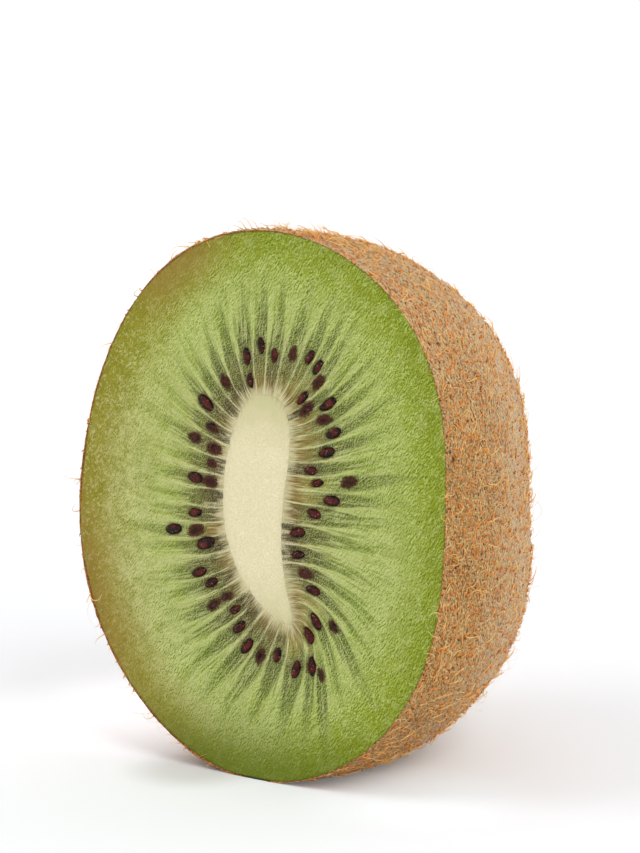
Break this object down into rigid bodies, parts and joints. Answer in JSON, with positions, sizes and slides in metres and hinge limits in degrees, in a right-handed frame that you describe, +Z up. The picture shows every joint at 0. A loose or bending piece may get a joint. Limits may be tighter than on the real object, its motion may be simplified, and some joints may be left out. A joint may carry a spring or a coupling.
{
  "type": "half kiwi fruit",
  "caption": "Half of a kiwi fruit cut across its waist, standing on its flank with the seeded green cut face upright, for food scenes and still lifes.",
  "frame": {"origin": "middle of the bounding box's underside, on the surface that the fruit stands on", "axes": "+Z up; the cut face looks along -Y and leans back about 8 degrees; +X is to the right as the cut face is looked at"},
  "size_m": [0.0476, 0.0366, 0.0574],
  "materials": {
    "flesh": "moist, granular green fruit flesh with dark seeds",
    "core": "pale cream, finely granular, moist",
    "skin": "thin matt brown skin with short hairs",
    "seeds": "wet, glossy, dark brown",
    "fuzz": "fine stiff brown hairs with pale tips"
  },
  "bodies": {
    "root": {"fruit_body": "flesh", "core": "core"}
  },
  "joints": []
}
